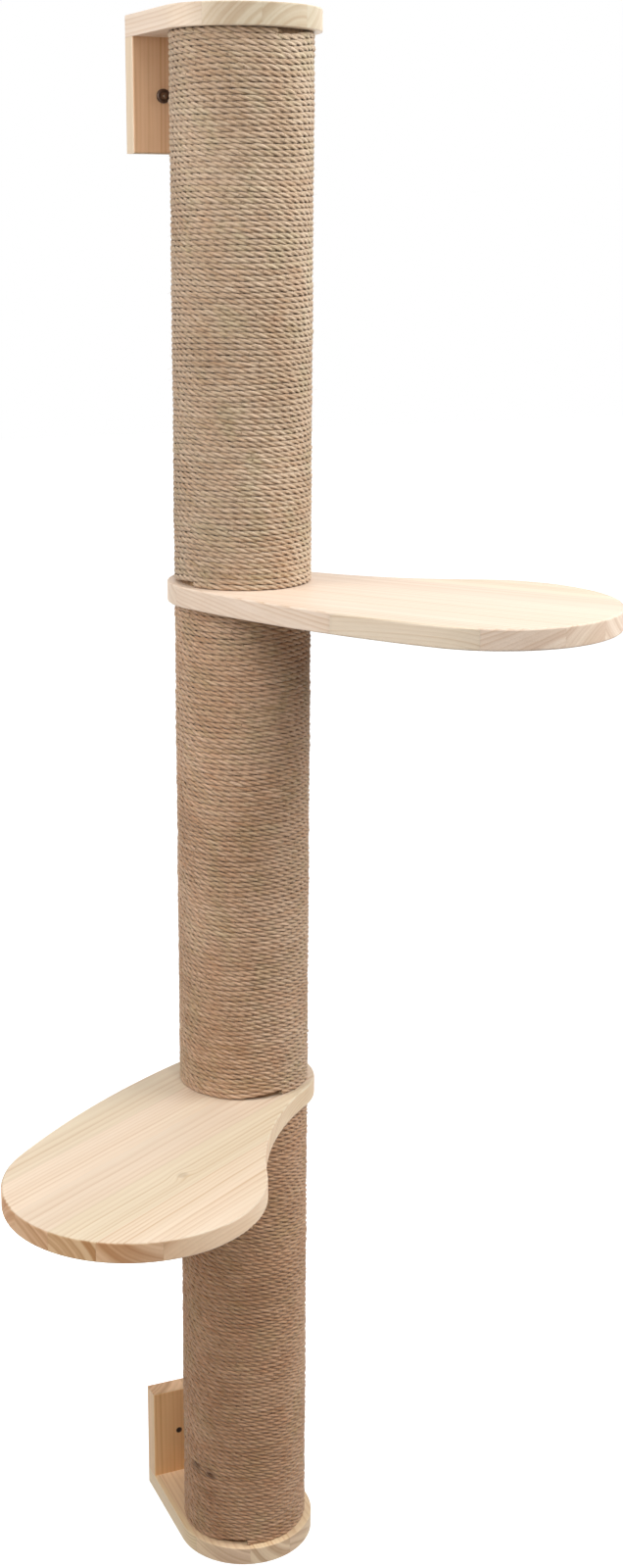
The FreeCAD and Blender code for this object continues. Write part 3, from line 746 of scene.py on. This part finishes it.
# %% The jute materials
JUTE_SHADER = {"Specular_IOR_Level": 0.2, "Sheen_Weight": 0.25, "Sheen_Roughness": 0.5}
JUTE_RELIEF = 0.00025


def make_jute(name, light, dark):
    material, tree, shader = new_material(name, **JUTE_SHADER)
    place = add_node(tree, "UVMap", uv_map="twine").outputs[0]
    on_post = add_node(tree, "TexCoord").outputs["Object"]
    crest = add_node(tree, "Attribute", attribute_name="crest").outputs["Fac"]
    stain = add_node(tree, "Attribute", attribute_name="stain").outputs["Fac"]
    jute = use_group(
        tree, jute_group, Twine_Place=place, Post_Place=on_post, Crest=crest, Stain=stain,
        Light_Fibre=light, Dark_Fibre=dark,
    )
    dress(tree, shader, jute["Color"], jute, JUTE_RELIEF)
    return material


# Painted light: paler at the top and browner lower down, where the light is warmer.
JUTES = {
    "upper_post": make_jute("jute_pale", paint(217, 193, 167), paint(168, 136, 105)),
    "middle_post": make_jute("jute_middling", paint(225, 193, 164), paint(175, 134, 99)),
    "lower_post": make_jute("jute_brown", paint(221, 180, 146), paint(172, 125, 88)),
}
print("jute for:", ", ".join(JUTES))

# %% [markdown]
# ## The section of the twine
#
# Seen end on, three strand twine has three rounded lobes with a groove between each pair.
# A curve can carry such a section along itself, and the curve's tilt then twists it, which is
# just how a rope maker lays strands. Twelve points are enough: four for each strand.

# %% Draw the section
TWINE_RADIUS = 0.00272
LOBE = ((0.0, 0.5, 0.0), (0.23, 0.87, 0.75), (0.5, 1.0, 1.0), (0.77, 0.87, 0.75))
SECTION_POINTS = STRANDS * len(LOBE)

section_data = bpy.data.curves.new("twine_section", "CURVE")
outline = section_data.splines.new("POLY")
outline.points.add(SECTION_POINTS - 1)
outline.use_cyclic_u = True
crest_of_point = np.zeros(SECTION_POINTS)
for strand in range(STRANDS):
    for step, (turn, reach, crest) in enumerate(LOBE):
        angle = 2 * math.pi * (strand + turn) / STRANDS
        spot = (TWINE_RADIUS * reach * math.cos(angle), TWINE_RADIUS * reach * math.sin(angle), 0, 1)
        index = strand * len(LOBE) + step
        outline.points[index].co = spot
        crest_of_point[index] = crest
section = bpy.data.objects.new("twine_section", section_data)
bpy.context.collection.objects.link(section)
print("section:", SECTION_POINTS, "points")

# %% [markdown]
# ## Where the twine runs
#
# One length of twine goes round each post about 97 times. At both ends it lies flat on the board
# for most of a turn, then climbs steeply over its own cut end: that leaves the small dark gap
# beside the end. The next turns copy that step and even it out, until the winding is a true
# helix. Hand winding also wanders a little: for that we need steps and noise that run smoothly.

# %% Smooth steps and slow noise
def smooth_step(value):
    value = np.clip(value, 0, 1)
    return value * value * (3 - 2 * value)


def slow_noise(chance, places, spacing, spread):
    """Random heights every so often along places, joined smoothly."""
    count = int(places[-1] / spacing) + 3
    heights = chance.normal(0, spread, count)
    at = places / spacing
    index = at.astype(int)
    share = smooth_step(at - index)
    return heights[index] * (1 - share) + heights[index + 1] * share


print("smooth_step(0.25) = %.3f" % smooth_step(0.25))

# %% [markdown]
# The route is a list of points, 190 to a turn, each with its tilt and its thickness. The tilt
# twists the strands: they go once round the twine in the length that rope makers call its lay.
# Slow waves let the turns wander and bulge away from the boards. Close to a board they lie true.
# The twine also has a few lumps, and a cut end may stand up a little from the post.

# %% The route of one winding
SAMPLES = 190
ROWS = 96
STEP_SHARE, STEP_FADE = 0.15, 22.0
WINDING_RADIUS = (POST_HIGH.x - POST_LOW.x) / 2 - TWINE_RADIUS
LAY = 0.0255
CALM_HEIGHT = 0.03
WANDER, SECOND_WANDER, BULGE = 0.0004, 0.0003, 0.00016
LIFTED_TURN = 0.035
LUMPS, LUMP_SIZE, LUMP_LENGTH = 34, 0.10, 0.006
# The spacing and the strength of each chance change.
REACH_NOISE, TILT_NOISE, THICKNESS_NOISE = (0.05, 0.00007), (0.06, 0.75), (0.03, 0.022)


def route_of(post, start_angle, end_angle, seed, end_lift=0.0):
    """Points, tilt, radius and length of the twine on one post, from its lower end up."""
    low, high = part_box(post + "_rope")
    chance = np.random.default_rng(seed)
    extra = (end_angle - start_angle) / 360 % 1
    turns = ROWS + extra - (1 if extra > 0.5 else 0)
    count = round(turns * SAMPLES)
    turn = np.arange(count + 1) / SAMPLES
    left = turn[-1] - turn

    def held_flat(value):
        part = value % 1
        return (smooth_step((part - 1 + STEP_SHARE) / STEP_SHARE) - part) * np.exp(-value / STEP_FADE)

    height = high.z - low.z - 2 * TWINE_RADIUS
    climb = (turn + held_flat(turn) - held_flat(left)) * height / turn[-1]
    angle = np.radians(start_angle) + 2 * math.pi * turn
    inner = smooth_step(np.minimum(climb, height - climb) / CALM_HEIGHT)
    first, second, third = chance.uniform(0, 2 * math.pi, 3)
    wander = WANDER * np.sin(2 * angle + climb * 57 + first)
    wander = wander + SECOND_WANDER * np.sin(3 * angle - climb * 90 + second)
    bulge = BULGE * np.sin(2 * angle - climb * 40 + third) - BULGE
    along = turn * 2 * math.pi * WINDING_RADIUS
    reach = WINDING_RADIUS + bulge * inner + slow_noise(chance, along, *REACH_NOISE)
    reach = reach + end_lift * (1 - smooth_step(turn / LIFTED_TURN)) ** 2
    points = np.ones((count + 1, 4))
    points[:, 0] = reach * np.cos(angle)
    points[:, 1] = POST_AXIS.y + reach * np.sin(angle)
    points[:, 2] = low.z + TWINE_RADIUS + climb + wander * inner
    tilt = 2 * math.pi * along / LAY + slow_noise(chance, along, *TILT_NOISE)
    thickness = 1 + slow_noise(chance, along, *THICKNESS_NOISE)
    for lump in chance.uniform(0, along[-1], LUMPS):
        thickness += LUMP_SIZE * np.exp(-((along - lump) / LUMP_LENGTH) ** 2)
    return points, tilt, thickness, along


print("route: winding radius %.2f mm" % (1000 * WINDING_RADIUS))

# %% [markdown]
# ## Winding the twine
#
# The route becomes a poly curve, the section becomes its bevel, and Convert turns both into a
# mesh. The same mesh could be laid out point by point, but a curve already knows how to carry and
# twist a section, and the mesh's rings still follow each other in order, which the next steps use.

# %% Sweep the section
def mesh_of_curve(name, data):
    """Puts the curve into the scene and converts it to a mesh of the same name."""
    piece = bpy.data.objects.new(name, data)
    bpy.context.collection.objects.link(piece)
    bpy.ops.object.select_all(action="DESELECT")
    piece.select_set(True)
    bpy.context.view_layer.objects.active = piece
    bpy.ops.object.convert(target="MESH")
    piece = bpy.context.object
    piece.name = name
    piece.data.name = name
    return piece


def sweep(name, points, tilt, thickness):
    """Carries the section along the points."""
    data = bpy.data.curves.new(name, "CURVE")
    data.dimensions = "3D"
    data.twist_mode = "Z_UP"
    data.bevel_mode = "OBJECT"
    data.bevel_object = section
    line = data.splines.new("POLY")
    line.points.add(len(points) - 1)
    line.points.foreach_set("co", points.ravel())
    line.points.foreach_set("tilt", tilt)
    line.points.foreach_set("radius", thickness)
    return mesh_of_curve(name, data)


print("a curve can be swept now")

# %% [markdown]
# A post for claws is wound tightly. Under that pull the turns press their sides flat against
# each other, and the outside of the winding is flatter too. The strands themselves are uneven:
# they swell and thin along the twine. Both are changes to a point's offset from the centre line,
# and as each point's ring is known, numpy can make them to all points at once.

# %% Press the turns together
PRESSED = 0.85
SQUARENESS = 0.3
UNEVEN, UNEVEN_EVERY = 0.08, 0.011


def read(items, name, kind=float, width=1):
    """One property of all these items, as an array."""
    values = np.zeros(len(items) * width, kind)
    items.foreach_get(name, values)
    return values


def press(piece, centres, along, seed):
    """Makes the strands uneven, squeezes the turns together and flattens their outside."""
    mesh = piece.data
    spots = read(mesh.vertices, "co", width=3).reshape(-1, 3)
    centre = np.repeat(centres[:, :3], SECTION_POINTS, axis=0)
    outward = centre - (POST_AXIS.x, POST_AXIS.y, 0)
    outward[:, 2] = 0
    outward /= np.linalg.norm(outward, axis=1)[:, None]
    offset = spots - centre
    chance = np.random.default_rng(seed)
    so_far = along - along[0]
    lobes = [1 + slow_noise(chance, so_far, UNEVEN_EVERY, UNEVEN) for _ in range(STRANDS)]
    offset *= np.repeat(np.stack(lobes, 1), len(LOBE), axis=1).reshape(-1, 1)
    out = (offset * outward).sum(1)
    size = np.hypot(out, offset[:, 2])
    squarer = (size / np.maximum(np.abs(out), np.abs(offset[:, 2]))) ** SQUARENESS
    new_out = out * squarer * np.where(out > 0, PRESSED, 1)
    offset[:, 2] *= squarer
    offset += outward * (new_out - out + TWINE_RADIUS * (1 - PRESSED))[:, None]
    mesh.vertices.foreach_set("co", (centre + offset).ravel())


print("pressed to %.0f%% of its round outside" % (100 * PRESSED))

# %% [markdown]
# Ring and point number also say where each corner lies along and round the twine, and that is
# the map which the jute reads. A second map, for baking, lays the turns side by side in a
# square. Two attributes tell the jute how high on a strand a point is and how stained.

# %% Map the twine
BAKE_MARGIN = 0.02


def write(items, name, values):
    items.foreach_set(name, np.asarray(values, np.float32).ravel())


def map_twine(piece, along, stain):
    """Writes both maps and the crest and stain attributes, by ring and point number."""
    mesh = piece.data
    corners = read(mesh.loops, "vertex_index", int)
    ring, point = corners // SECTION_POINTS, corners % SECTION_POINTS
    starts = read(mesh.polygons, "loop_start", int)
    face = np.repeat(np.arange(len(starts)), np.diff(np.append(starts, len(corners))))
    first_ring = np.minimum.reduceat(ring, starts)[face]
    wraps = np.maximum.reduceat(point, starts)[face] == SECTION_POINTS - 1
    wraps &= np.minimum.reduceat(point, starts)[face] == 0
    around = (point + np.where(wraps & (point == 0), SECTION_POINTS, 0)) / SECTION_POINTS
    twine = mesh.uv_layers[0]
    twine.name = "twine"
    write(twine.uv, "vector", np.stack([along[ring], around], 1))

    rows = math.ceil((len(along) - 1) / SAMPLES)
    across = (first_ring % SAMPLES + ring - first_ring) / SAMPLES
    up = (first_ring // SAMPLES + BAKE_MARGIN + (1 - 2 * BAKE_MARGIN) * around) / rows
    bake = mesh.uv_layers.new(name="OFBake", do_init=False)
    write(bake.uv, "vector", np.stack([across, up], 1))
    mesh.uv_layers.active = mesh.uv_layers["twine"]
    heights = np.tile(crest_of_point, len(along))
    for name, values in (("crest", heights), ("stain", np.repeat(stain, SECTION_POINTS))):
        write(mesh.attributes.new(name, "FLOAT", "POINT").data, "value", values)


print("maps: twine, OFBake. Attributes: crest, stain")

# %% [markdown]
# Now one post can be wound. Its twine is three pieces, which meet on the wall side, so that none
# is too heavy. Each rides on the column and stands in for the plain sleeve. A stain is darkest
# where the twine comes nearest to its place, and fades along the twine and to the next turns.

# %% Wind one post
END_ANGLE = math.radians(80)
STAIN_DEPTH, STAIN_SIZE, STAIN_SQUASH = 0.95, 0.0043, (1, 1, 1.5)


def close_ends(piece):
    """Fills the two open ends, and keeps their edges sharp."""
    bpy.ops.object.mode_set(mode="EDIT")
    bpy.ops.mesh.select_all(action="SELECT")
    bpy.ops.mesh.fill_holes(sides=SECTION_POINTS)
    bpy.ops.object.mode_set(mode="OBJECT")
    bpy.ops.object.shade_smooth_by_angle(angle=END_ANGLE)


def stain_of(points, marks):
    """How stained each point is. A mark is a height and a bearing round the post."""
    stain = np.zeros(len(points))
    for height, bearing in marks:
        spot = POST_AXIS + flat_direction(bearing) * WINDING_RADIUS + UP * height
        away = np.linalg.norm((points[:, :3] - np.array(spot)) * STAIN_SQUASH, axis=1)
        past_nearest = (away - away.min()) / STAIN_SIZE
        stain = np.maximum(stain, STAIN_DEPTH * np.exp(-(past_nearest ** 2)))
    return stain


def wind(post, start_angle, end_angle, seed, end_lift=0.0, marks=()):
    points, tilt, thickness, along = route_of(post, start_angle, end_angle, seed, end_lift)
    stain = stain_of(points, marks)
    behind = (90 - start_angle) / 360 % 1
    joins = [round((ROWS * part // 3 + behind) * SAMPLES) for part in (1, 2)]
    made = []
    cuts = zip(("lower", "middle", "upper"), [0] + joins, joins + [len(points) - 1])
    for part, first, last in cuts:
        cut = slice(first, last + 1)
        piece = sweep("%s_twine_%s" % (post, part), points[cut], tilt[cut], thickness[cut])
        press(piece, points[cut], along[cut], seed)
        map_twine(piece, along[cut], stain[cut])
        close_ends(piece)
        piece.data.materials.append(JUTES[post])
        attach(piece, "column")
        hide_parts(post + "_rope")
        made.append(piece)
    faces = sum(len(piece.data.polygons) for piece in made)
    print("%s: %.1f m of twine, %d faces" % (post, along[-1], faces))
    return points


print("ready to wind")

# %% [markdown]
# No two posts start and end at the same place. The angles say where the cut ends lie, counted
# from the right hand side, and some of them show in front. The lowest post also has two stains.
# Then the section has done its work, and goes.

# %% Wind the three posts
WINDINGS = {
    "upper_post": {"start_angle": -156, "end_angle": -82, "seed": 3},
    "middle_post": {"start_angle": -75, "end_angle": -118, "seed": 5},
    "lower_post": {
        "start_angle": -109, "end_angle": 40, "seed": 8, "end_lift": 0.0022,
        "marks": ((-1.2663, -163.6), (-1.2680, -145.5)),
    },
}
routes = {post: wind(post, **facts) for post, facts in WINDINGS.items()}
bpy.data.objects.remove(section)
print("wound:", ", ".join(routes))

# %% [markdown]
# ## Loose fibres
#
# Jute is hairy. A few hundred fine fibres stand out of each post, mostly in line with the twine,
# and a small tuft frays at each cut end. Hair particles would need a system of their own in every
# program, so these are thin bevelled curves, a few faces each, all of one post's in one piece.

# %% One fibre
FIBRE_STEPS = 5
FIBRE_WANDER = 0.22
FIBRE_TAPER = 0.7


def grow(line, root, direction, length, chance):
    """One fibre: a short poly line that starts in the twine and wanders as it goes."""
    line.points.add(FIBRE_STEPS - 1)
    spot, heading = Vector(root), Vector(direction).normalized()
    for index, point in enumerate(line.points):
        point.co = (*spot, 1)
        point.radius = 1 - FIBRE_TAPER * index / (FIBRE_STEPS - 1)
        heading = (heading + Vector(chance.normal(0, FIBRE_WANDER, 3))).normalized()
        spot = spot + heading * length / (FIBRE_STEPS - 1)


fibre_material = make_clouded(
    "jute_fibre", (90.0, 1.0), (0.35, 0.65), paint(176, 144, 104), paint(222, 198, 160),
    Roughness=0.7, Specular_IOR_Level=0.25,
)
print("a fibre has", FIBRE_STEPS, "points")

# %% [markdown]
# Where a fibre grows, which way it leans and how long it is are all left to chance, with a seed
# for each post, so that every run gives the same tree. At a cut end they point on past the end.

# %% Grow the fibres
FIBRES_PER_POST = 560
FIBRES_PER_END = 16
FIBRE_RADIUS = 0.00006
FIRST_FIBRE_SEED = 31
LIFTS, END_LIFTS = (0.15, 0.8), (0.1, 0.5)
LENGTHS, END_LENGTHS = (0.003, 0.008), (0.003, 0.006)


def make_fibres(post, points, seed):
    chance = np.random.default_rng(seed)
    data = bpy.data.curves.new(post + "_fibres", "CURVE")
    data.dimensions = "3D"
    data.bevel_depth = FIBRE_RADIUS
    data.bevel_resolution = 0
    data.use_fill_caps = True
    last = len(points) - 1
    rings = list(chance.integers(SAMPLES, last - SAMPLES, FIBRES_PER_POST))
    for ring in rings + [0] * FIBRES_PER_END + [last] * FIBRES_PER_END:
        centre = Vector(points[ring, :3])
        outward = Vector((centre.x, centre.y - POST_AXIS.y, 0)).normalized()
        ahead = UP.cross(outward)
        at_end = ring in (0, last)
        sense = (1 if ring else -1) if at_end else chance.choice((-1, 1))
        lift = chance.uniform(*(END_LIFTS if at_end else LIFTS))
        tip = chance.uniform(-0.9, 0.9)
        root = centre + (outward * math.cos(tip) + UP * math.sin(tip)) * TWINE_RADIUS * 0.9
        if at_end:
            root = centre + outward * TWINE_RADIUS * chance.uniform(-0.5, 0.8)
        length = chance.uniform(*(END_LENGTHS if at_end else LENGTHS))
        heading = ahead * sense + outward * lift + UP * chance.normal(0, 0.15)
        grow(data.splines.new("POLY"), root, heading, length, chance)
    piece = mesh_of_curve(post + "_fibres", data)
    piece.data.materials.append(fibre_material)
    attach(piece, "column")
    return piece


for seed, (post, points) in enumerate(routes.items(), start=FIRST_FIBRE_SEED):
    fibres = make_fibres(post, points, seed)
    print(fibres.name, len(fibres.data.polygons), "faces")

# %% [markdown]
# ## Light
#
# Studio light comes from broad soft lamps: one overhead, one on each side, one in front, and one
# low behind that stands for light off the wall, so that the back of the tree isn't dark. The one
# on the right is a little cool, as a window is. All are near white and none is strong, so colours
# come out about as they are painted.

# %% Lamps
WHITE, COOL = (1, 1, 1), (0.95, 1.0, 1.02)
LAMPS = {  # place, target, width, height, watts, colour
    "overhead": ((-0.1, -0.6, 1.5), (0, -0.1, -0.5), 1.6, 1.2, 12.5, WHITE),
    "left": ((-1.1, -0.28, 0.1), (0, -0.1, -0.35), 0.8, 0.9, 10.5, WHITE),
    "right": ((1.2, -0.75, 0.5), (0, -0.1, -0.1), 0.9, 1.0, 27, COOL),
    "front": ((-0.2, -2.4, 0.9), (0, -0.1, -0.7), 1.3, 1.1, 20, WHITE),
    "wall_bounce": ((0.4, 2.0, -1.3), (0, 0, -0.5), 1.8, 1.4, 20, WHITE),
}


def add_lamp(name, place, target, wide, high, power, tint):
    bpy.ops.object.light_add(type="AREA", location=place)
    lamp = bpy.context.object
    lamp.name = name
    lamp.data.shape = "RECTANGLE"
    lamp.data.size, lamp.data.size_y = wide, high
    lamp.data.energy = power
    lamp.data.color = tint
    lamp.rotation_euler = (Vector(target) - Vector(place)).to_track_quat("-Z", "Y").to_euler()


for name, facts in LAMPS.items():
    add_lamp(name, *facts)
print("lamps:", ", ".join(LAMPS))

# %% [markdown]
# ## World and floor
#
# The world gives the lamps a soft base of light from all round. The background has to be white,
# but a world that is bright enough for that would bleach the wood. So the world and the floor
# show white only to camera, mirror and glass rays, and the light itself sees their real strength.

# %% World
AMBIENT = 0.23


def seen_directly(tree):
    """1 where a camera, mirror or glass ray looks, and 0 for the light itself."""
    rays = add_node(tree, "LightPath").outputs
    seen = sums(tree, "MAXIMUM", rays["Is Camera Ray"], rays["Is Glossy Ray"])
    return sums(tree, "MAXIMUM", seen, rays["Is Transmission Ray"])


world = bpy.data.worlds.new("studio")
bpy.context.scene.world = world
world.use_nodes = True
tree = world.node_tree
sky = tree.nodes["Background"]
sky.inputs["Color"].default_value = (1, 1, 1, 1)
strength = between(tree, seen_directly(tree), 0, 1, AMBIENT, 1.0)
tree.links.new(strength, sky.inputs["Strength"])
print("ambient light: %.2f" % AMBIENT)

# %% [markdown]
# The tree hangs on a wall, so the floor lies some way below it. It is matt and pale and glows
# white further out, but less under the tree, so that it can keep the tree's faint shadow. The
# Standard view shows colours without a film's curve.

# %% Floor
FLOOR_DROP = 0.6
FLOOR_SIZE = 30.0
FLOOR_PAINT = (0.8, 0.8, 0.8, 1)
GLOW_STARTS, GLOW_FULL, GLOW_UNDER_TREE = 0.4, 2.0, 0.5
lowest = cad_box[0][2]
bpy.ops.mesh.primitive_plane_add(size=FLOOR_SIZE, location=(0, 0, lowest - FLOOR_DROP))
floor = bpy.context.object
floor.name = "floor"
bpy.ops.object.transform_apply(location=True)
material = bpy.data.materials.new("pale_floor")
material.use_nodes = True
tree = material.node_tree
tree.nodes.clear()
matt = add_node(tree, "BsdfDiffuse", {"Color": FLOOR_PAINT})
place = add_node(tree, "TexCoord").outputs["Object"]
reach = length_of(tree, stretch(tree, place, (1, 1, 0)))
glow = fade(tree, reach, GLOW_STARTS, GLOW_FULL, GLOW_UNDER_TREE, 1.0)
light = add_node(tree, "Emission", {"Strength": glow})
bright = add_node(tree, "AddShader", {0: matt.outputs[0], 1: light.outputs[0]})
choice = add_node(tree, "MixShader", {0: seen_directly(tree), 1: matt.outputs[0], 2: bright.outputs[0]})
add_node(tree, "OutputMaterial", {"Surface": choice.outputs[0]})
floor.data.materials.append(material)
bpy.context.scene.view_settings.view_transform = "Standard"
print("floor at %.2f m" % (lowest - FLOOR_DROP))

# %% [markdown]
# ## The solids' box
#
# The box of the imported solids is printed.

# %% Sizes
print("cad box", cad_box)
